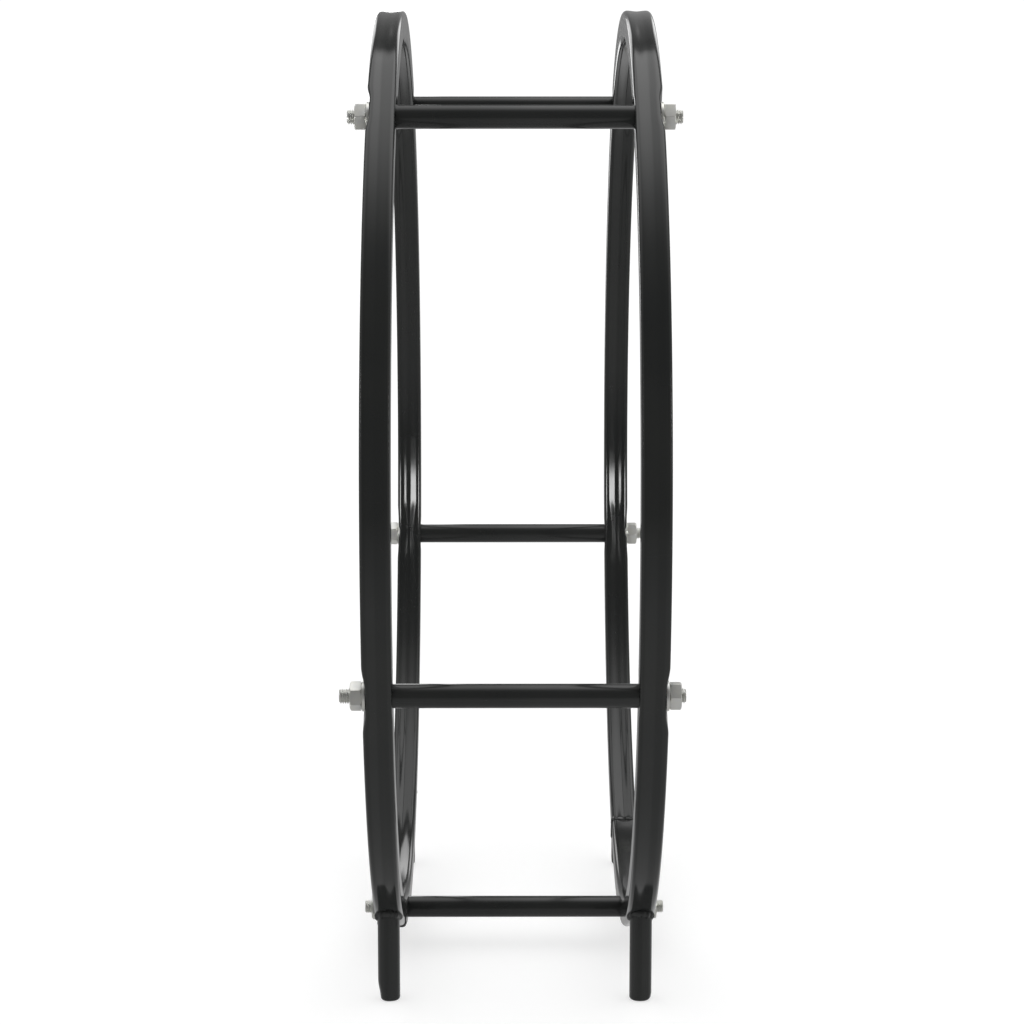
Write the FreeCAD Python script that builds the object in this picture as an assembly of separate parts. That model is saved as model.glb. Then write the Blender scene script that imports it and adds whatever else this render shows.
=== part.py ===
import FreeCAD, Part
import math
import os

# Firewood log rack: two round hoops of square steel tube stand side by side on short welded
# feet. Five crossbars hold them apart. Each crossbar is a spacer tube with a threaded rod
# through it and through both hoops, clamped by a nut and a washer at each end.
#
# Millimetres. +Z is up, the front is -Y, and +X is to the right as seen from the front.
# The origin is on the floor, midway between the hoops and under their centre.
#
# A place on a hoop is given by its clock angle: 0 at the lowest point, 90 at the front,
# 180 at the top, and negative angles towards the rear.

Vector = FreeCAD.Vector

# Hoops
hoop_outer_radius = 342.0
tube_side = 20.0
tube_wall = 1.5
tube_corner_radius = 3.0
inner_wall_trough = 1.6  # bending the tube pulls its inner wall in by this much
outer_wall_hollow = 0.4  # and its outer wall by this much
space_between_hoops = 160.0
floor_clearance = 16.0  # from the floor to a hoop's lowest point
seam_clock = 20.0  # each butt weld: to the front on the left hoop, to the rear on the right
seam_width = 5.0
seam_height = 0.6

# Crossbars: name, clock angle, how far its rod sits to the right, and how far its left and
# right nuts are turned from having a flat to the front
crossbars = [
    ("bottom", 7.5, 0.0, 12.0, 40.0),
    ("front_middle", 72.0, -2.0, 4.0, 34.0),
    ("front_top", 144.0, 0.0, 34.0, 32.0),
    ("rear_top", -144.0, 2.0, 18.0, 50.0),
    ("rear_middle", -72.0, 0.0, 2.0, 28.0),
]
crossbar_clocks = [crossbar[1] for crossbar in crossbars]
spacer_diameter = 16.0
spacer_wall = 1.5

# Standard M10 hardware
rod_diameter = 10.0
rod_chamfer = 1.0
rod_beyond_nut = 5.0
thread_clearance = 0.02
nut_across_flats = 17.0
nut_height = 8.0
nut_face_diameter = 16.2  # of the round face left by the corner chamfer
nut_chamfer_angle = 30.0
washer_diameter = 20.0
washer_hole = 10.5
washer_thickness = 2.0
rod_hole = 11.0  # through both walls of a hoop

# Tightening the nuts presses the hoop's side walls in around each crossbar
outer_dent = {"depth": 2.0, "flat_half": 11.0, "ramp_half": 25.0}
inner_dent = {"depth": 0.5, "flat_half": 9.0, "ramp_half": 16.0}

# Feet
foot_clock = 30.0
foot_diameter = 16.0
foot_wall = 1.5
foot_edge_radius = 2.0
foot_weld_radius = 2.2

# Derived
hoop_mid_radius = hoop_outer_radius - tube_side / 2
hoop_centre_height = hoop_outer_radius + floor_clearance
inner_face = space_between_hoops / 2
tube_centre = inner_face + tube_side / 2
outer_face = inner_face + tube_side
washer_seat = outer_face - outer_dent["depth"]
spacer_end = inner_face + inner_dent["depth"]
nut_seat = washer_seat + washer_thickness
rod_length = 2 * (nut_seat + nut_height + rod_beyond_nut)
foot_offset = hoop_outer_radius * math.sin(math.radians(foot_clock))
foot_joint_height = hoop_centre_height - hoop_outer_radius * math.cos(math.radians(foot_clock))

X_AXIS = Vector(1, 0, 0)
CENTRE = Vector(0, 0, hoop_centre_height)


def turn_to_clock(shape, clock):
    """Moves a shape made at the top of a hoop centred on the origin to its place."""
    placed = shape.copy()
    placed.rotate(Vector(0, 0, 0), X_AXIS, 180 - clock)
    placed.translate(CENTRE)
    return placed


def crossbar_point(clock, x=0.0):
    """A point on a crossbar's axis."""
    angle = math.radians(clock)
    return CENTRE + Vector(x, -hoop_mid_radius * math.sin(angle), -hoop_mid_radius * math.cos(angle))


def tube_section(x, side, corner):
    """Closed wire of the bent square tube's section, above the X axis at the hoop's radius."""
    half = side / 2
    flat = half - corner
    bevel = corner * (1 - math.sqrt(0.5))

    def point(across, out):
        return Vector(x + across, 0, hoop_mid_radius + out)

    points = [
        point(-flat, -half),
        point(0, inner_wall_trough - half),
        point(flat, -half),
        point(half - bevel, bevel - half),
        point(half, -flat),
        point(half, flat),
        point(half - bevel, half - bevel),
        point(flat, half),
        point(0, half - outer_wall_hollow),
        point(-flat, half),
        point(bevel - half, half - bevel),
        point(-half, flat),
        point(-half, -flat),
        point(bevel - half, bevel - half),
        point(-flat, -half),
    ]
    edges = [
        Part.Arc(points[0], points[1], points[2]).toShape(),
        Part.Arc(points[2], points[3], points[4]).toShape(),
        Part.LineSegment(points[4], points[5]).toShape(),
        Part.Arc(points[5], points[6], points[7]).toShape(),
        Part.Arc(points[7], points[8], points[9]).toShape(),
        Part.Arc(points[9], points[10], points[11]).toShape(),
        Part.LineSegment(points[11], points[12]).toShape(),
        Part.Arc(points[12], points[13], points[14]).toShape(),
    ]
    return Part.Wire(edges)


def hoop_block(x, side, corner):
    """The solid that the tube's section makes round the whole hoop."""
    ring = Part.Face(tube_section(x, side, corner)).revolve(Vector(0, 0, 0), X_AXIS, 360)
    ring.translate(CENTRE)
    return ring


def outer_block(hand):
    return hoop_block(hand * tube_centre, tube_side, tube_corner_radius)


def dent_tool(clock, face, into, dent):
    """What a dent takes off a side wall. The wall is at x = face, and into points into the tube."""
    floor = face + into * dent["depth"]
    clear = face - into * tube_side / 2
    flat = dent["flat_half"]
    ramp = dent["ramp_half"]
    low = hoop_mid_radius - tube_side
    outline = [(-ramp, face), (-flat, floor), (flat, floor), (ramp, face), (ramp, clear), (-ramp, clear)]
    points = [Vector(x, along, low) for along, x in outline]
    face_shape = Part.Face(Part.makePolygon(points + points[:1]))
    return turn_to_clock(face_shape.extrude(Vector(0, 0, 2 * tube_side)), clock)


def dent_tools(hand, depth_in_tube):
    """Tools for every dent of one hoop, set depth_in_tube deeper than the outside surface."""
    tools = []
    for clock in crossbar_clocks:
        outer = hand * (outer_face - depth_in_tube)
        inner = hand * (inner_face + depth_in_tube)
        tools.append(dent_tool(clock, outer, -hand, outer_dent))
        tools.append(dent_tool(clock, inner, hand, inner_dent))
    return tools


def hoop(hand):
    """One hoop: a bent tube with dents at the crossbars and a hole for each rod."""
    outside = outer_block(hand).cut(dent_tools(hand, 0.0))
    cavity_side = tube_side - 2 * tube_wall
    cavity = hoop_block(hand * tube_centre, cavity_side, tube_corner_radius - tube_wall)
    cavity = cavity.cut(dent_tools(hand, tube_wall))
    holes = []
    for clock in crossbar_clocks:
        start = crossbar_point(clock, hand * tube_centre - tube_side)
        holes.append(Part.makeCylinder(rod_hole / 2, 2 * tube_side, start, X_AXIS))
    return outside.cut([cavity] + holes)


def hoop_seam(hand):
    """The weld bead round the hoop's butt joint."""
    side = tube_side + 2 * seam_height
    section = tube_section(hand * tube_centre, side, tube_corner_radius + seam_height)
    angle = math.degrees(seam_width / hoop_mid_radius)
    slice_of_tube = Part.Face(section).revolve(Vector(0, 0, 0), X_AXIS, angle)
    return turn_to_clock(slice_of_tube, angle / 2 - hand * seam_clock).cut(outer_block(hand))


def foot(hand, end):
    """A short upright tube, closed at the floor and coped to the underside of its hoop."""
    place = Vector(hand * tube_centre, -end * foot_offset, 0)
    height = foot_joint_height + tube_side / 2
    outside = Part.makeCylinder(foot_diameter / 2, height, place)
    floor_edges = [e for e in outside.Edges if e.BoundBox.ZMax < 1e-6]
    outside = outside.makeFillet(foot_edge_radius, floor_edges)
    bore = Part.makeCylinder(foot_diameter / 2 - foot_wall, height, place + Vector(0, 0, foot_wall))
    return outside.cut([bore, outer_block(hand)])


def foot_weld(hand, end):
    """The bead round the joint of a foot and its hoop."""
    slope = math.radians(foot_clock)
    outward = Vector(0, -end * math.sin(slope), -math.cos(slope))
    joint = Vector(hand * tube_centre, -end * foot_offset, foot_joint_height)
    bead = Part.makeTorus(foot_diameter / 2 + foot_weld_radius / 4, foot_weld_radius, joint, outward)
    core = Part.makeCylinder(foot_diameter / 2, 2 * foot_joint_height, joint - Vector(0, 0, foot_joint_height))
    return bead.cut([core, outer_block(hand)])


def spacer(clock):
    """The tube between the hoops."""
    length = 2 * spacer_end
    start = crossbar_point(clock, -spacer_end)
    outside = Part.makeCylinder(spacer_diameter / 2, length, start, X_AXIS)
    bore = Part.makeCylinder(spacer_diameter / 2 - spacer_wall, length, start, X_AXIS)
    return outside.cut(bore)


def turned(profile, clock):
    """A round piece on a crossbar's axis, from (x, radius) points that start and end on the axis."""
    points = [Vector(x, 0, radius) for x, radius in profile]
    solid = Part.Face(Part.makePolygon(points + points[:1])).revolve(Vector(0, 0, 0), X_AXIS, 360)
    solid.translate(crossbar_point(clock))
    return solid


def rod(clock, shift):
    """The threaded rod, drawn at its major diameter."""
    end = rod_length / 2
    radius = rod_diameter / 2
    tip = radius - rod_chamfer
    profile = [
        (shift - end, 0),
        (shift - end, tip),
        (shift - end + rod_chamfer, radius),
        (shift + end - rod_chamfer, radius),
        (shift + end, tip),
        (shift + end, 0),
    ]
    return turned(profile, clock)


def nut(clock, hand, turn):
    """A hexagon nut with its corners chamfered on both faces."""
    corner = nut_across_flats / 2 / math.cos(math.radians(30))
    face = nut_face_diameter / 2
    bevel = (corner - face) * math.tan(math.radians(nut_chamfer_angle))
    start = nut_seat
    end = nut_seat + nut_height
    rounding = [
        (hand * start, 0),
        (hand * start, face),
        (hand * (start + bevel), corner),
        (hand * (end - bevel), corner),
        (hand * end, face),
        (hand * end, 0),
    ]
    points = []
    for step in range(7):
        angle = math.radians(60 * step + 30 + turn)
        points.append(Vector(hand * start, -corner * math.cos(angle), corner * math.sin(angle)))
    hexagon = Part.Face(Part.makePolygon(points)).extrude(Vector(hand * nut_height, 0, 0))
    hexagon.translate(crossbar_point(clock))
    low_x = min(hand * start, hand * end)
    bore_radius = rod_diameter / 2 + thread_clearance
    bore = Part.makeCylinder(bore_radius, nut_height, crossbar_point(clock, low_x), X_AXIS)
    return hexagon.common(turned(rounding, clock)).cut(bore)


def washer(clock, hand):
    """A flat washer between the hoop and the nut."""
    low_x = min(hand * washer_seat, hand * nut_seat)
    start = crossbar_point(clock, low_x)
    disc = Part.makeCylinder(washer_diameter / 2, washer_thickness, start, X_AXIS)
    hole = Part.makeCylinder(washer_hole / 2, washer_thickness, start, X_AXIS)
    return disc.cut(hole)


def all_nodes():
    nodes = {}
    for side, hand in (("left", -1), ("right", 1)):
        nodes[f"{side}_hoop"] = hoop(hand)
        nodes[f"{side}_hoop_seam"] = hoop_seam(hand)
        for end_name, end in (("front", 1), ("rear", -1)):
            nodes[f"{side}_{end_name}_foot"] = foot(hand, end)
            nodes[f"{side}_{end_name}_foot_weld"] = foot_weld(hand, end)
    for name, clock, shift, left_turn, right_turn in crossbars:
        nodes[f"{name}_spacer"] = spacer(clock)
        nodes[f"{name}_rod"] = rod(clock, shift)
        for side, hand, turn in (("left", -1, left_turn), ("right", 1, right_turn)):
            nodes[f"{name}_{side}_washer"] = washer(clock, hand)
            nodes[f"{name}_{side}_nut"] = nut(clock, hand, turn)
    return nodes


os.makedirs("parts", exist_ok=True)
for node_name, shape in all_nodes().items():
    solids = shape.Solids
    print(node_name, "solids", len(solids), "valid", shape.isValid(), "volume", round(shape.Volume, 1))
    if len(solids) == 1:
        shape = solids[0]
    shape.exportStep(f"parts/{node_name}.step")
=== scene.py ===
import math

import bpy
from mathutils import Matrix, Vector, noise


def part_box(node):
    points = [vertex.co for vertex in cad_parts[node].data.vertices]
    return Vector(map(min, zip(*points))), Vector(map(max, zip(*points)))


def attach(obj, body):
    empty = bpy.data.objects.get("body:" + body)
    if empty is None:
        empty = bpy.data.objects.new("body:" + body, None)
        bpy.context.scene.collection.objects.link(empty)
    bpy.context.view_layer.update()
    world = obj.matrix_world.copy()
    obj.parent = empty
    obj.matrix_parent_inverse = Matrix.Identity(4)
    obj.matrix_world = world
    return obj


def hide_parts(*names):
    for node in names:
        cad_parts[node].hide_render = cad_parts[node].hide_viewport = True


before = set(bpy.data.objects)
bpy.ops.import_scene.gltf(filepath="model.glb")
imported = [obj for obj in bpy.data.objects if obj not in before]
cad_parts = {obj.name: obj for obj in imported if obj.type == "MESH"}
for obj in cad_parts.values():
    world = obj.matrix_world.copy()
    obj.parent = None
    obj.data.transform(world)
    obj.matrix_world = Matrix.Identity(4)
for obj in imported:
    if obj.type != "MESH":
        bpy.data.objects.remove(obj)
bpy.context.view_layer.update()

# Metres. The hoops stand side by side across X, and the front is -Y. A place on a hoop is its
# clock angle in degrees: 0 at the lowest point, 90 at the front, 180 at the top.
MM = 0.001
BODY = "root"
HANDS = (("left", -1), ("right", 1))
ENDS = ("front", "rear")

# Name, clock angle, and how far the left and right nuts are turned from a flat to the front
CROSSBARS = [
    ("bottom", 7.5, 12.0, 40.0),
    ("front_middle", 72.0, 4.0, 34.0),
    ("front_top", 144.0, 34.0, 32.0),
    ("rear_top", -144.0, 18.0, 50.0),
    ("rear_middle", -72.0, 2.0, 28.0),
]
BAR_CLOCKS = [bar[1] for bar in CROSSBARS]

# Sizes that the frame's boxes give
hoop_low, hoop_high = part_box("left_hoop")
HOOP_CENTRE_Z = (hoop_low.z + hoop_high.z) / 2
HOOP_OUTER_RADIUS = (hoop_high.z - hoop_low.z) / 2
TUBE_SIDE = hoop_high.x - hoop_low.x
TUBE_CENTRE_X = -(hoop_low.x + hoop_high.x) / 2
HOOP_MID_RADIUS = HOOP_OUTER_RADIUS - TUBE_SIDE / 2
TUBE_HALF = TUBE_SIDE / 2

# The bent tube's section, and how its walls gave way
CORNER = 3.0 * MM
FLAT_HALF = TUBE_HALF - CORNER
INNER_TROUGH = 1.6 * MM
OUTER_HOLLOW = 0.6 * MM
SEAM_CLOCK = 20.0
STRAIGHT_END_CLOCK = -2.0
OUTER_DENT = {"depth": 2.0 * MM, "flat": 9.5 * MM, "reach": 25.0 * MM, "corners": (0.10, 0.80)}
INNER_DENT = {"depth": 0.5 * MM, "flat": 8.0 * MM, "reach": 15.0 * MM, "corners": (0.05, 0.10)}
TROUGH_AT_BAR = 1.05 * MM
SHARPNESS_AT_BAR = 3.0
TROUGH_REACH = 30.0 * MM
HOOP_STEPS = 960
SEAM_WIDTH = 4.2 * MM
SEAM_CROWN = 0.95 * MM
SEAM_LUMP = 0.30 * MM

# Hardware and feet
SPACER_WALL = 1.5 * MM
THREAD_PITCH = 1.5 * MM
THREAD_DEPTH = 0.92 * MM
THREAD_STEPS_PER_PITCH = 12
THREADED_LENGTH = 19.0 * MM
ROD_RADIUS = 5.0 * MM
ROD_CHAMFER = 1.0 * MM
NUT_ACROSS_FLATS = 17.0 * MM
NUT_FACE_RADIUS = 8.1 * MM
NUT_EDGE_RADIUS = 0.5 * MM
WASHER_HOLE_RADIUS = 5.25 * MM
FOOT_EDGE = 2.0 * MM
FOOT_WELD_RADIUS = 2.2 * MM
FOOT_WELD_STRETCH = 1.35

# How each foot's lower end was dressed off: towards which angle, how deep and how high
FOOT_BEVELS = {
    "left_front": (180.0, 1.9 * MM, 15.0 * MM),
    "right_front": (15.0, 0.9 * MM, 5.0 * MM),
    "left_rear": (60.0, 0.8 * MM, 7.0 * MM),
    "right_rear": (140.0, 0.7 * MM, 6.0 * MM),
}


# ---- small helpers ----------------------------------------------------------------------


def smooth(low, high, value):
    """0 below low, 1 above high, and a smooth step between them."""
    t = min(1.0, max(0.0, (value - low) / (high - low)))
    return t * t * (3 - 2 * t)


def clock_direction(clock):
    """The unit vector from the hoops' centre to a clock angle."""
    angle = math.radians(clock)
    return Vector((0, -math.sin(angle), -math.cos(angle)))


def around(angle):
    """The unit vector at an angle round the upright direction, from +X towards +Y."""
    return Vector((math.cos(angle), math.sin(angle), 0))


def hoop_place(x, out, clock):
    """A point out from the middle radius of a hoop at a clock angle."""
    return Vector((x, 0, HOOP_CENTRE_Z)) + clock_direction(clock) * (HOOP_MID_RADIUS + out)


def clock_gap(a, b):
    """The angle from b to a, between -180 and 180."""
    return (a - b + 180) % 360 - 180


def grid_mesh(name, rows, closed_rows, caps=False):
    """A mesh of quads from rows of points, each row a closed loop. The rows close on themselves
    if closed_rows, and otherwise caps closes each end with a fan."""
    count = len(rows[0])
    points = [p for row in rows for p in row]
    faces = []
    last = len(rows) if closed_rows else len(rows) - 1
    for i in range(last):
        a = i * count
        b = ((i + 1) % len(rows)) * count
        for j in range(count):
            k = (j + 1) % count
            faces.append((a + j, a + k, b + k, b + j))
    if caps:
        for row, start, flip in ((rows[0], 0, True), (rows[-1], (len(rows) - 1) * count, False)):
            centre = sum(row, Vector()) / count
            points.append(centre)
            for j in range(count):
                k = (j + 1) % count
                pair = (start + k, start + j) if flip else (start + j, start + k)
                faces.append((*pair, len(points) - 1))
    mesh = bpy.data.meshes.new(name)
    mesh.from_pydata(points, [], faces)
    mesh.validate()
    return mesh


def piece(name, mesh, material, slot, *nodes, sharp=None):
    """Puts a mesh in the scene as a piece that stands for CAD nodes."""
    face_outwards(mesh)
    mesh.polygons.foreach_set("use_smooth", [True] * len(mesh.polygons))
    if sharp is not None:
        mesh.set_sharp_from_angle(angle=math.radians(sharp))
    obj = bpy.data.objects.new(name, mesh)
    bpy.context.scene.collection.objects.link(obj)
    mesh.materials.append(material)
    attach(obj, BODY)
    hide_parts(*nodes)
    return obj


def face_outwards(mesh):
    """Turns every face round if the closed mesh is inside out."""
    volume = 0.0
    for polygon in mesh.polygons:
        corners = [mesh.vertices[i].co for i in polygon.vertices]
        for a, b in zip(corners[1:], corners[2:]):
            volume += corners[0].dot(a.cross(b))
    if volume < 0:
        mesh.flip_normals()


def lathe_x(name, profile, centre, steps=96):
    """A closed turned mesh round the X direction through centre, from a closed loop of
    (x, radius) points."""
    rows = []
    for step in range(steps):
        angle = 2 * math.pi * step / steps
        rows.append([
            centre + Vector((x, radius * math.cos(angle), radius * math.sin(angle)))
            for x, radius in profile
        ])
    return grid_mesh(name, rows, closed_rows=True)


# ---- hoops ------------------------------------------------------------------------------


def section_loop():
    """Points (across, out, share of a wall's sag, wall) round the square tube's section.
    The sag is 0 at a wall's ends and 1 at its middle; wall is inner, outer or side."""
    wall_steps = 14
    corner_steps = 7
    turns = (("inner", 0), ("side", 90), ("outer", 180), ("side", 270))
    loop = []
    for wall, turn in turns:
        c = math.cos(math.radians(turn))
        s = math.sin(math.radians(turn))
        flat = []
        for step in range(wall_steps + 1):
            along = FLAT_HALF * (2 * step / wall_steps - 1)
            sag = 0.5 * (1 + math.cos(math.pi * along / FLAT_HALF))
            flat.append((along, -TUBE_HALF, sag))
        for step in range(1, corner_steps):
            angle = math.radians(90 * step / corner_steps)
            along = FLAT_HALF + CORNER * math.sin(angle)
            depth = -FLAT_HALF - CORNER * math.cos(angle)
            flat.append((along, depth, 0.0))
        for along, depth, sag in flat:
            loop.append((along * c - depth * s, along * s + depth * c, sag, wall))
    return loop


def squeeze(along, out, dent):
    """How far a dent presses a side wall in, at a distance along the hoop from its bar. The
    tube's corners are stiffer than the middle of the wall, most of all the inner ones."""
    inner_corner, outer_corner = dent["corners"]
    at_corner = outer_corner if out > 0 else inner_corner
    reach_in = 0.8 if out > 0 else 0.3
    stiffness = 1 - (1 - at_corner) * smooth(FLAT_HALF * reach_in, TUBE_HALF, abs(out))
    return dent["depth"] * stiffness * (1 - smooth(dent["flat"], dent["reach"], abs(along)))


def bend_share(clock):
    """1 where the left hoop is bent, and 0 along its straight end behind the seam."""
    before_seam = clock_gap(SEAM_CLOCK, clock)
    if abs(before_seam) > 90:
        return 1.0
    into_straight = smooth(-0.6, 0.6, before_seam)
    out_of_straight = smooth(-6.0, 6.0, clock_gap(STRAIGHT_END_CLOCK, clock))
    return 1 - into_straight * (1 - out_of_straight)


def hoop_point(hand, clock, across, out, sag, wall, proud=0.0):
    """A point on a hoop's surface. across runs from the inside of the rack to the outside. The
    inner wall's trough is narrower and shallower where a bar's hole cuts through it."""
    bend = bend_share(-hand * clock)
    dent = OUTER_DENT if across > 0 else INNER_DENT
    pressed = 0.0
    near_bar = 0.0
    for bar_clock in BAR_CLOCKS:
        along = math.radians(clock_gap(clock, bar_clock)) * HOOP_MID_RADIUS
        pressed += squeeze(along, out, dent)
        near_bar += 1 - smooth(0.0, TROUGH_REACH, abs(along))
    if wall == "inner":
        ripple = 1 + 0.10 * noise.noise(Vector((clock * 0.16, 3.1 * hand, 0.0)))
        trough = (INNER_TROUGH + (TROUGH_AT_BAR - INNER_TROUGH) * near_bar) * bend * ripple
        out += trough * sag ** (1 + (SHARPNESS_AT_BAR - 1) * near_bar)
    if wall == "outer":
        out -= OUTER_HOLLOW * sag * bend
    scale = 1 + proud / TUBE_HALF
    across *= scale
    out *= scale
    across *= 1 - pressed / TUBE_HALF
    return hoop_place(hand * (TUBE_CENTRE_X + across), out, clock)


def make_hoop(side, hand, material):
    loop = section_loop()
    rows = []
    for step in range(HOOP_STEPS):
        clock = 360 * step / HOOP_STEPS
        rows.append([hoop_point(hand, clock, *point) for point in loop])
    mesh = grid_mesh(f"{side}_hoop_tube", rows, closed_rows=True)
    return piece(f"{side}_hoop_tube", mesh, material, "black_powder_coat", f"{side}_hoop")


def make_hoop_seam(side, hand, material):
    """The ripple of weld round a hoop's butt joint, closed by a skin just inside the tube. The
    joint is to the front on the left hoop and to the rear on the right."""
    middle = -hand * SEAM_CLOCK
    loop = section_loop()
    steps = 12
    rows = []
    for step in range(steps + 1):
        share = 2 * step / steps - 1
        row = []
        for index, point in enumerate(loop):
            around = index / len(loop)
            crown = SEAM_CROWN * math.sqrt(max(0.0, 1 - share * share)) - 0.12 * MM
            lump = noise.noise(Vector((around * 46, share * 1.3, 7.0 * hand)))
            wander = 0.35 * MM * noise.noise(Vector((around * 9, 0.0, 4.0 * hand)))
            clock = middle + math.degrees((share * SEAM_WIDTH / 2 + wander) / HOOP_MID_RADIUS)
            row.append(hoop_point(hand, clock, *point, proud=crown + SEAM_LUMP * lump))
        rows.append(row)
    for step in (steps, 0):
        share = 2 * step / steps - 1
        clock = middle + math.degrees(share * SEAM_WIDTH / 2 / HOOP_MID_RADIUS)
        rows.append([hoop_point(hand, clock, *point, proud=-0.6 * MM) for point in loop])
    mesh = grid_mesh(f"{side}_hoop_seam_bead", rows, closed_rows=True)
    return piece(f"{side}_hoop_seam_bead", mesh, material, "black_weld", f"{side}_hoop_seam")


# ---- feet -------------------------------------------------------------------------------


def hoop_underside(y):
    """The height of a hoop's outer surface below its centre."""
    return HOOP_CENTRE_Z - math.sqrt(HOOP_OUTER_RADIUS**2 - y**2)


def make_foot(side, end, material):
    """A closed round foot with a worn lower edge, coped to the hoop."""
    low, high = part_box(f"{side}_{end}_foot")
    centre = (low + high) / 2
    radius = (high.x - low.x) / 2
    bevel_angle, bevel_depth, bevel_height = FOOT_BEVELS[f"{side}_{end}"]
    steps = 128
    edge_steps = 10
    lift_steps = 60
    rows = [[] for step in range(edge_steps + lift_steps + 1)]
    for j in range(steps):
        angle = 2 * math.pi * j / steps
        facing = max(0.0, math.cos(angle - math.radians(bevel_angle)))
        edge = FOOT_EDGE * (1 + 0.3 * noise.noise(Vector((angle * 1.2, low.x * 40, low.y * 9))))
        flute = 0.10 * MM * (1 + noise.noise(Vector((angle * 12, low.x * 90, low.y * 30))))
        offset = radius * around(angle)
        top = hoop_underside(centre.y + offset.y) + 0.4 * MM
        for step, row in enumerate(rows):
            if step <= edge_steps:
                turn = math.radians(90 * step / edge_steps)
                height = edge * (1 - math.cos(turn))
                inset = edge * (1 - math.sin(turn))
            else:
                share = (step - edge_steps) / lift_steps
                height = edge + (top - low.z - edge) * share
                inset = 0.0
            inset += bevel_depth * facing**2 * (1 - smooth(0.0, bevel_height, height))
            inset += flute * smooth(0.0, 3.0 * MM, height)
            spot = offset * (1 - inset / radius)
            row.append(Vector((centre.x + spot.x, centre.y + spot.y, low.z + height)))
    mesh = grid_mesh(f"{side}_{end}_foot_tube", rows, closed_rows=False, caps=True)
    name = f"{side}_{end}_foot"
    return piece(f"{name}_tube", mesh, material, "black_powder_coat", name, sharp=50)


def make_foot_weld(side, end, material):
    """A rippled bead round the joint of a foot and its hoop."""
    low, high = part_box(f"{side}_{end}_foot")
    centre = (low + high) / 2
    radius = (high.x - low.x) / 2
    seed = (3.0 if side == "left" else 11.0) + (0.0 if end == "front" else 5.0)
    steps = 150
    tube_steps = 20
    rows = []
    for step in range(steps):
        angle = 2 * math.pi * step / steps
        outward = around(angle)
        joint = Vector((centre.x, centre.y, 0)) + radius * outward
        joint.z = hoop_underside(joint.y)
        lump = noise.noise(Vector((3.2 * math.cos(angle), 3.2 * math.sin(angle), seed)))
        ripple = math.sin(17 * angle + 2.5 * lump)
        beside = abs(math.cos(angle))
        bead = FOOT_WELD_RADIUS * (1.0 - 0.28 * beside**2 + 0.34 * lump + 0.12 * ripple)
        middle = joint + outward * (0.35 + 0.4 * lump) * (1 - 0.7 * beside) * MM
        middle.z -= (0.7 + 0.5 * lump) * MM
        row = []
        for turn in range(tube_steps):
            spin = 2 * math.pi * turn / tube_steps
            grain = 1 + 0.16 * noise.noise(Vector((16 * angle, 2.6 * math.cos(spin), seed + spin)))
            rim = outward * math.cos(spin) + Vector((0, 0, FOOT_WELD_STRETCH * math.sin(spin)))
            row.append(middle + bead * grain * rim)
        rows.append(row)
    name = f"{side}_{end}_foot_weld"
    mesh = grid_mesh(f"{name}_bead", rows, closed_rows=True)
    return piece(f"{name}_bead", mesh, material, "black_weld", name)


# ---- crossbars and hardware -------------------------------------------------------------


def rounded_ring(low_x, high_x, inner, outer, edge):
    """(x, radius) loop of a tube or washer with small round edges."""
    corners = (
        (low_x + edge, outer - edge, 180, 90),
        (high_x - edge, outer - edge, 90, 0),
        (high_x - edge, inner + edge, 0, -90),
        (low_x + edge, inner + edge, -90, -180),
    )
    loop = []
    for x, radius, start, stop in corners:
        for step in range(5):
            angle = math.radians(start + (stop - start) * step / 4)
            loop.append((x + edge * math.cos(angle), radius + edge * math.sin(angle)))
    return loop


def make_spacer(name, material):
    low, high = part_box(f"{name}_spacer")
    centre = (low + high) / 2
    half = (high.x - low.x) / 2
    radius = (high.z - low.z) / 2
    profile = rounded_ring(-half, half, radius - SPACER_WALL, radius, 0.3 * MM)
    mesh = lathe_x(f"{name}_spacer_tube", profile, centre, steps=128)
    node = f"{name}_spacer"
    return piece(f"{node}_tube", mesh, material, "black_powder_coat", node, sharp=60)


def make_washer(name, side, material):
    node = f"{name}_{side}_washer"
    low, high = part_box(node)
    centre = (low + high) / 2
    half = (high.x - low.x) / 2
    radius = (high.z - low.z) / 2
    profile = rounded_ring(-half, half, WASHER_HOLE_RADIUS, radius, 0.3 * MM)
    mesh = lathe_x(f"{node}_disc", profile, centre, steps=128)
    return piece(f"{node}_disc", mesh, material, "zinc_plate", node, sharp=60)


def hexagon_radius(angle):
    """The radius of a hexagon with slightly round corners. Angle 0 is the middle of a flat."""
    half = NUT_ACROSS_FLATS / 2
    from_flat = (angle + math.pi / 6) % (math.pi / 3) - math.pi / 6
    from_corner = math.pi / 6 - abs(from_flat)
    hub = (half - NUT_EDGE_RADIUS) / math.cos(math.pi / 6)
    touch_across = NUT_EDGE_RADIUS * math.sin(math.pi / 6)
    touch_along = hub + NUT_EDGE_RADIUS * math.cos(math.pi / 6)
    if from_corner > math.atan2(touch_across, touch_along):
        return half / math.cos(from_flat)
    sideways = hub * math.sin(from_corner)
    return hub * math.cos(from_corner) + math.sqrt(NUT_EDGE_RADIUS**2 - sideways**2)


def nut_angles():
    """Angles round a nut: even over its flats, and close together at its corners."""
    near_corner = (0.0, 0.8, 1.6, 2.4)
    over_flat = [4 + 52 * step / 10 for step in range(11)]
    before_corner = [60 - a for a in reversed(near_corner[1:])]
    one_side = list(near_corner) + over_flat + before_corner
    return [math.radians(60 * k + 30 + a) for k in range(6) for a in one_side]


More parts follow.
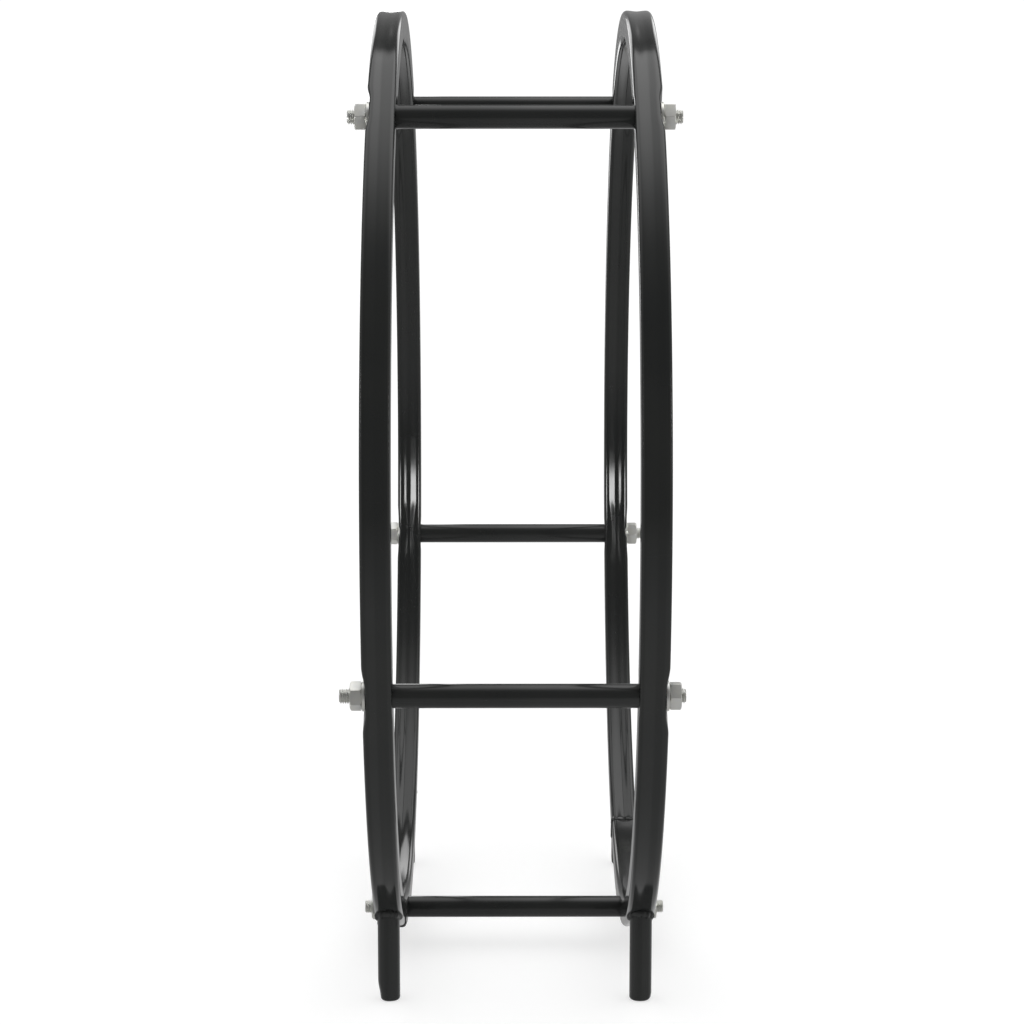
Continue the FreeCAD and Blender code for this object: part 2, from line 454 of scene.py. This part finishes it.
def make_nut(name, side, turn, material):
    """A hexagon nut with its corners turned off at 30 degrees on both faces."""
    node = f"{name}_{side}_nut"
    low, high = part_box(node)
    bar_low, bar_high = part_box(f"{name}_spacer")
    axis = (bar_low + bar_high) / 2
    axis.x = 0
    slope = math.tan(math.radians(30))
    countersink = 0.45 * MM
    soft = 0.22 * MM
    rows = []
    for angle in nut_angles():
        corner = hexagon_radius(angle)
        bevel = max(0.02 * MM, (corner - NUT_FACE_RADIUS) * slope)
        profile = [
            (countersink, ROD_RADIUS - 0.25 * MM),
            (0.0, ROD_RADIUS + countersink),
            (0.0, NUT_FACE_RADIUS - soft),
            (soft * slope * 0.3, NUT_FACE_RADIUS + soft * 0.3),
            (bevel - soft * slope * 0.6, corner - soft * 0.5),
            (bevel + soft * 0.3, corner - 0.03 * MM),
            (bevel + soft, corner),
        ]
        height = high.x - low.x
        loop = profile + [(height - x, radius) for x, radius in reversed(profile)]
        spin = angle + math.radians(turn)
        out = Vector((0, -math.cos(spin), math.sin(spin)))
        rows.append([axis + Vector((low.x + x, 0, 0)) + out * radius for x, radius in loop])
    mesh = grid_mesh(f"{node}_hex", rows, closed_rows=True)
    return piece(f"{node}_hex", mesh, material, "zinc_plate", node, sharp=24)


def thread_depth(phase):
    """How deep the thread's groove is at a share of a turn past its crest, from 0 to 1."""
    crest, root_start, root_end = 0.14, 0.46, 0.68
    if phase < crest:
        return 0.0
    if phase < root_start:
        return smooth(crest, root_start, phase)
    if phase < root_end:
        return 1.0
    return 1 - smooth(root_end, 1.0, phase)


def make_rod(name, material):
    """A stud threaded at both ends, with a plain shank where the spacer hides it."""
    node = f"{name}_rod"
    low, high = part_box(node)
    centre = (low + high) / 2
    length = high.x - low.x
    steps = 64
    pitch_step = THREAD_PITCH / THREAD_STEPS_PER_PITCH
    thread_rows = round(THREADED_LENGTH / pitch_step)
    stations = [row * pitch_step for row in range(thread_rows + 1)]
    stations += [length - x for x in reversed(stations)]
    rows = []
    for x in stations:
        from_end = min(x, length - x)
        runout = 1 - smooth(THREADED_LENGTH - 2 * THREAD_PITCH, THREADED_LENGTH, from_end)
        row = []
        for j in range(steps):
            angle = 2 * math.pi * j / steps
            phase = (x / THREAD_PITCH - j / steps) % 1.0
            radius = ROD_RADIUS - 0.02 * MM - THREAD_DEPTH * thread_depth(phase) * runout
            radius = min(radius, ROD_RADIUS - ROD_CHAMFER + from_end)
            row.append(Vector((low.x + x, centre.y, centre.z))
                       + radius * Vector((0, math.cos(angle), math.sin(angle))))
        rows.append(row)
    mesh = grid_mesh(f"{node}_stud", rows, closed_rows=False, caps=True)
    return piece(f"{node}_stud", mesh, material, "zinc_thread", node, sharp=40)


# ---- materials --------------------------------------------------------------------------


def new_material(name):
    material = bpy.data.materials.new(name)
    material.use_nodes = True
    nodes = material.node_tree.nodes
    links = material.node_tree.links
    return material, nodes, links, nodes["Principled BSDF"]


def noise_at(nodes, links, coordinates, scale, detail=2.0):
    """A noise texture in object space; scale is in cells per metre."""
    texture = nodes.new("ShaderNodeTexNoise")
    texture.inputs["Scale"].default_value = scale
    texture.inputs["Detail"].default_value = detail
    links.new(coordinates.outputs["Object"], texture.inputs["Vector"])
    return texture


def spread(nodes, links, source, low, high):
    """Turns a noise value into a number between low and high."""
    node = nodes.new("ShaderNodeMapRange")
    node.inputs["From Min"].default_value = 0.3
    node.inputs["From Max"].default_value = 0.7
    node.inputs["To Min"].default_value = low
    node.inputs["To Max"].default_value = high
    links.new(source.outputs["Fac"], node.inputs["Value"])
    return node


def blend_colours(nodes, links, source, first, second):
    node = nodes.new("ShaderNodeMix")
    node.data_type = "RGBA"
    node.inputs["A"].default_value = (*first, 1)
    node.inputs["B"].default_value = (*second, 1)
    links.new(source.outputs["Result"], node.inputs["Factor"])
    return node


def bump(nodes, links, source, strength, distance, before=None):
    node = nodes.new("ShaderNodeBump")
    node.inputs["Strength"].default_value = strength
    node.inputs["Distance"].default_value = distance
    links.new(source.outputs["Fac"], node.inputs["Height"])
    if before is not None:
        links.new(before.outputs["Normal"], node.inputs["Normal"])
    return node


def coated_steel(name, roughness, grain, relief):
    """Semi-gloss black powder coat: faint orange peel, with patches a little more or less matt."""
    material, nodes, links, shader = new_material(name)
    coordinates = nodes.new("ShaderNodeTexCoord")
    patches = noise_at(nodes, links, coordinates, 14, 3)
    tone = spread(nodes, links, patches, 0, 1)
    colour = blend_colours(nodes, links, tone, (0.0120, 0.0128, 0.0126), (0.0155, 0.0162, 0.0155))
    links.new(colour.outputs["Result"], shader.inputs["Base Color"])
    handling = noise_at(nodes, links, coordinates, 75, 4)
    matt = spread(nodes, links, handling, roughness - 0.025, roughness + 0.035)
    links.new(matt.outputs["Result"], shader.inputs["Roughness"])
    peel = noise_at(nodes, links, coordinates, grain, 1)
    dust = noise_at(nodes, links, coordinates, grain * 4.5, 2)
    coarse = bump(nodes, links, peel, 0.4, relief)
    fine = bump(nodes, links, dust, 0.25, relief * 0.2, coarse)
    links.new(fine.outputs["Normal"], shader.inputs["Normal"])
    shader.inputs["IOR"].default_value = 1.5
    return material


def zinc(name, roughness, darkest):
    """Bright zinc plate with a faint yellow passivation and fine tool marks."""
    material, nodes, links, shader = new_material(name)
    coordinates = nodes.new("ShaderNodeTexCoord")
    patches = noise_at(nodes, links, coordinates, 160, 3)
    tone = spread(nodes, links, patches, 0, 1)
    colour = blend_colours(nodes, links, tone, darkest, (0.74, 0.745, 0.73))
    links.new(colour.outputs["Result"], shader.inputs["Base Color"])
    wear = noise_at(nodes, links, coordinates, 420, 4)
    matt = spread(nodes, links, wear, roughness - 0.03, roughness + 0.04)
    links.new(matt.outputs["Result"], shader.inputs["Roughness"])
    marks = noise_at(nodes, links, coordinates, 900, 2)
    relief = bump(nodes, links, marks, 0.15, 0.004 * MM)
    links.new(relief.outputs["Normal"], shader.inputs["Normal"])
    shader.inputs["Metallic"].default_value = 0.85
    return material


# ---- studio -----------------------------------------------------------------------------

# How bright the studio looks in a reflection, by the angle in degrees up from the front, over
# the top at 90 and down to the back at 180. Negative angles go under the rack.
STUDIO_LEVELS = [
    (-180, 0.28),
    (-174, 0.33),
    (-166, 0.36),
    (-158, 0.50),
    (-148, 0.75),
    (-138, 0.75),
    (-128, 0.50),
    (-110, 0.34),
    (-25, 0.34),
    (-10, 0.20),
    (-3, 0.07),
    (40, 0.07),
    (55, 0.14),
    (64, 0.27),
    (73, 0.60),
    (82, 1.05),
    (92, 1.45),
    (103, 1.60),
    (116, 1.45),
    (124, 1.30),
    (129.2, 1.30),
    (131.2, 0.11),
    (141, 0.22),
    (160, 0.33),
    (180, 0.28),
]
STUDIO_PEAK = 1.6
FLOOR_RADIUS = 14.0
DOME_RADIUS = 9.0
DOME_RINGS = 48
DOME_STEPS = 96
SIDE_LEVEL = 0.35
LEFT_SHARE = 0.85
RIGHT_SHARE = 1.10

# Softboxes: name, X from and to, Y, Z from and to, and strength. One stands on each side, level
# with the front of the rack and facing the back, and a dim one stands behind the left hoop.
SOFTBOXES = [
    ("left_softbox", -0.36, -0.78, -HOOP_OUTER_RADIUS, 0.385, 0.552, 15.0),
    ("right_softbox", 0.36, 0.78, -HOOP_OUTER_RADIUS, 0.385, 0.552, 15.0),
    ("back_softbox", -0.09, -0.60, 1.0, 0.28, 0.84, 2.6),
]
SOFTBOX_FADE = 0.35

# The room also has a dim light to each side of straight back, given by the angle in degrees
# from that line and by the same pitch as the levels above
BACK_LIGHT_AZIMUTH = (11, 28)
BACK_LIGHT_PITCH = (143, 166)
BACK_LIGHT_LEVEL = 2.0

# The camera's lens, its place from the hoops' centre, and its angles down and to the right
CAMERA_LENS = 98.9
CAMERA_PLACE = (-0.0076, -2.1062, 0.3100)
CAMERA_DOWN = 9.236
CAMERA_RIGHT = 0.166


def make_floor():
    """A pale floor that glows a little, so that it stays pale out to the horizon."""
    steps = 64
    mesh = bpy.data.meshes.new("floor")
    points = []
    for k in range(steps):
        angle = 2 * math.pi * k / steps
        points.append(Vector((FLOOR_RADIUS * math.cos(angle), FLOOR_RADIUS * math.sin(angle), 0)))
    mesh.from_pydata(points, [], [tuple(range(steps))])
    floor = bpy.data.objects.new("floor", mesh)
    bpy.context.scene.collection.objects.link(floor)
    material, _, _, shader = new_material("studio_floor")
    shader.inputs["Base Color"].default_value = (0.55, 0.55, 0.55, 1)
    shader.inputs["Roughness"].default_value = 0.9
    shader.inputs["Emission Color"].default_value = (1, 1, 1, 1)
    shader.inputs["Emission Strength"].default_value = 0.5
    mesh.materials.append(material)
    floor.visible_glossy = False


def math_node(nodes, links, operation, first, second=None):
    """A Math node; each input is a number or another node's output."""
    node = nodes.new("ShaderNodeMath")
    node.operation = operation
    for index, value in enumerate((first, second)):
        if value is None:
            continue
        if isinstance(value, (int, float)):
            node.inputs[index].default_value = value
        else:
            links.new(value, node.inputs[index])
    return node.outputs["Value"]


def edge_node(nodes, links, value, low, high):
    """A smooth step of a node's output."""
    node = nodes.new("ShaderNodeMapRange")
    node.interpolation_type = "SMOOTHSTEP"
    node.inputs["From Min"].default_value = low
    node.inputs["From Max"].default_value = high
    links.new(value, node.inputs["Value"])
    return node.outputs["Result"]


def shine(material, level):
    """Gives a material white light of a level that a node's output sets."""
    nodes = material.node_tree.nodes
    links = material.node_tree.links
    emission = nodes.new("ShaderNodeEmission")
    links.new(level, emission.inputs["Strength"])
    links.new(emission.outputs["Emission"], nodes["Material Output"].inputs["Surface"])
    material.cycles.emission_sampling = "NONE"


def show_in_gloss_only(obj):
    """Hides an object from everything but reflections."""
    obj.visible_camera = False
    obj.visible_diffuse = False
    obj.visible_shadow = False
    obj.visible_transmission = False


def make_softbox(name, near_x, far_x, y, low, high, strength):
    """A bright upright panel that fades in from its lower edge."""
    mesh = bpy.data.meshes.new(name)
    lower = [Vector((near_x, y, low)), Vector((far_x, y, low))]
    upper = [Vector((far_x, y, high)), Vector((near_x, y, high))]
    mesh.from_pydata(lower + upper, [], [(0, 1, 2, 3)])
    softbox = bpy.data.objects.new(name, mesh)
    bpy.context.scene.collection.objects.link(softbox)
    material, nodes, links, shader = new_material(name)
    nodes.remove(shader)
    coordinates = nodes.new("ShaderNodeTexCoord")
    parts = nodes.new("ShaderNodeSeparateXYZ")
    links.new(coordinates.outputs["Object"], parts.inputs["Vector"])
    fade = edge_node(nodes, links, parts.outputs["Z"], low, low + (high - low) * SOFTBOX_FADE)
    level = math_node(nodes, links, "MULTIPLY", fade, strength)
    shine(material, level)
    mesh.materials.append(material)
    show_in_gloss_only(softbox)


def make_reflection_dome():
    """What the gloss sees: the light overhead, dark room and floor of a photo studio, on a dome
    that shows in reflections only."""
    rows = []
    for ring in range(DOME_RINGS + 1):
        slope = math.pi * (ring + 0.02) / (DOME_RINGS + 0.04)
        out = math.sin(slope)
        up = math.cos(slope)
        rows.append([
            DOME_RADIUS * Vector((out * math.cos(turn), out * math.sin(turn), up))
            for turn in (2 * math.pi * j / DOME_STEPS for j in range(DOME_STEPS))
        ])
    mesh = grid_mesh("reflection_dome", rows, closed_rows=False, caps=True)
    dome = bpy.data.objects.new("reflection_dome", mesh)
    dome.location = (0, 0, HOOP_CENTRE_Z)
    bpy.context.scene.collection.objects.link(dome)

    material, nodes, links, shader = new_material("studio_lights")
    nodes.remove(shader)
    coordinates = nodes.new("ShaderNodeTexCoord")
    scaled = nodes.new("ShaderNodeVectorMath")
    scaled.operation = "NORMALIZE"
    links.new(coordinates.outputs["Object"], scaled.inputs[0])
    parts = nodes.new("ShaderNodeSeparateXYZ")
    links.new(scaled.outputs["Vector"], parts.inputs["Vector"])
    sideways = math_node(nodes, links, "ABSOLUTE", parts.outputs["X"])
    forwards = math_node(nodes, links, "MULTIPLY", parts.outputs["Y"], -1.0)

    # The angle up from the front, over the top and down to the back, as a share of a turn
    pitch = math_node(nodes, links, "ARCTAN2", parts.outputs["Z"], forwards)
    share = math_node(nodes, links, "MULTIPLY_ADD", pitch, 0.5 / math.pi)
    share.node.inputs[2].default_value = 0.5
    ramp = nodes.new("ShaderNodeValToRGB")
    links.new(share, ramp.inputs["Fac"])
    stops = ramp.color_ramp.elements
    while len(stops) < len(STUDIO_LEVELS):
        stops.new(0.5)
    for stop, (angle, level) in zip(stops, STUDIO_LEVELS):
        stop.position = 0.5 + angle / 360
        stop.color = (level / STUDIO_PEAK,) * 3 + (1,)
    middle = math_node(nodes, links, "MULTIPLY", ramp.outputs["Color"], STUDIO_PEAK)

    # The light is a little stronger on the right
    tilt = edge_node(nodes, links, parts.outputs["X"], -0.06, 0.06)
    tilt.node.inputs["To Min"].default_value = LEFT_SHARE
    tilt.node.inputs["To Max"].default_value = RIGHT_SHARE
    middle = math_node(nodes, links, "MULTIPLY", middle, tilt)

    # Towards the sides the room is an even grey
    beside = edge_node(nodes, links, sideways, 0.55, 0.95)
    mixed = nodes.new("ShaderNodeMix")
    links.new(beside, mixed.inputs["Factor"])
    links.new(middle, mixed.inputs["A"])
    mixed.inputs["B"].default_value = SIDE_LEVEL

    # The two dim lights at the back, each with soft edges
    from_back = math_node(nodes, links, "ARCTAN2", sideways, parts.outputs["Y"])
    soft = math.radians(4)
    window = 1.0
    for value, (low, high) in ((from_back, BACK_LIGHT_AZIMUTH), (pitch, BACK_LIGHT_PITCH)):
        rise = edge_node(nodes, links, value, math.radians(low) - soft, math.radians(low) + soft)
        fall = edge_node(nodes, links, value, math.radians(high) + soft, math.radians(high) - soft)
        span = math_node(nodes, links, "MULTIPLY", rise, fall)
        window = math_node(nodes, links, "MULTIPLY", window, span)
    back_lights = math_node(nodes, links, "MULTIPLY", window, BACK_LIGHT_LEVEL)
    total = math_node(nodes, links, "ADD", mixed.outputs["Result"], back_lights)
    shine(material, total)
    mesh.materials.append(material)
    show_in_gloss_only(dome)


def make_world():
    world = bpy.data.worlds.new("studio")
    world.use_nodes = True
    background = world.node_tree.nodes["Background"]
    background.inputs["Color"].default_value = (1, 1, 1, 1)
    background.inputs["Strength"].default_value = 1.05
    bpy.context.scene.world = world


def make_camera():
    """A long lens in front of the rack, a little above it and looking slightly down."""
    camera = bpy.data.objects.new("camera", bpy.data.cameras.new("camera"))
    camera.data.lens = CAMERA_LENS
    camera.data.sensor_width = 36.0
    camera.data.clip_end = 100
    bpy.context.scene.collection.objects.link(camera)
    x, y, above_centre = CAMERA_PLACE
    camera.location = (x, y, HOOP_CENTRE_Z + above_centre)
    camera.rotation_euler = (math.radians(90 - CAMERA_DOWN), 0, math.radians(-CAMERA_RIGHT))
    bpy.context.scene.camera = camera


def make_studio():
    make_floor()
    make_world()
    make_reflection_dome()
    for softbox in SOFTBOXES:
        make_softbox(*softbox)
    make_camera()
    bpy.context.scene.view_settings.view_transform = "Standard"


# ---- the rack ---------------------------------------------------------------------------


def make_rack():
    coat = coated_steel("black_powder_coat", 0.115, 420, 0.02 * MM)
    weld_coat = coated_steel("black_weld_coat", 0.15, 900, 0.10 * MM)
    plate = zinc("zinc_plate", 0.32, (0.80, 0.795, 0.74))
    thread = zinc("zinc_thread", 0.34, (0.72, 0.72, 0.67))
    for side, hand in HANDS:
        make_hoop(side, hand, coat)
        make_hoop_seam(side, hand, weld_coat)
        for end in ENDS:
            make_foot(side, end, coat)
            make_foot_weld(side, end, weld_coat)
    for name, _, left_turn, right_turn in CROSSBARS:
        make_spacer(name, coat)
        make_rod(name, thread)
        for side, turn in (("left", left_turn), ("right", right_turn)):
            make_washer(name, side, plate)
            make_nut(name, side, turn, plate)


make_rack()
make_studio()
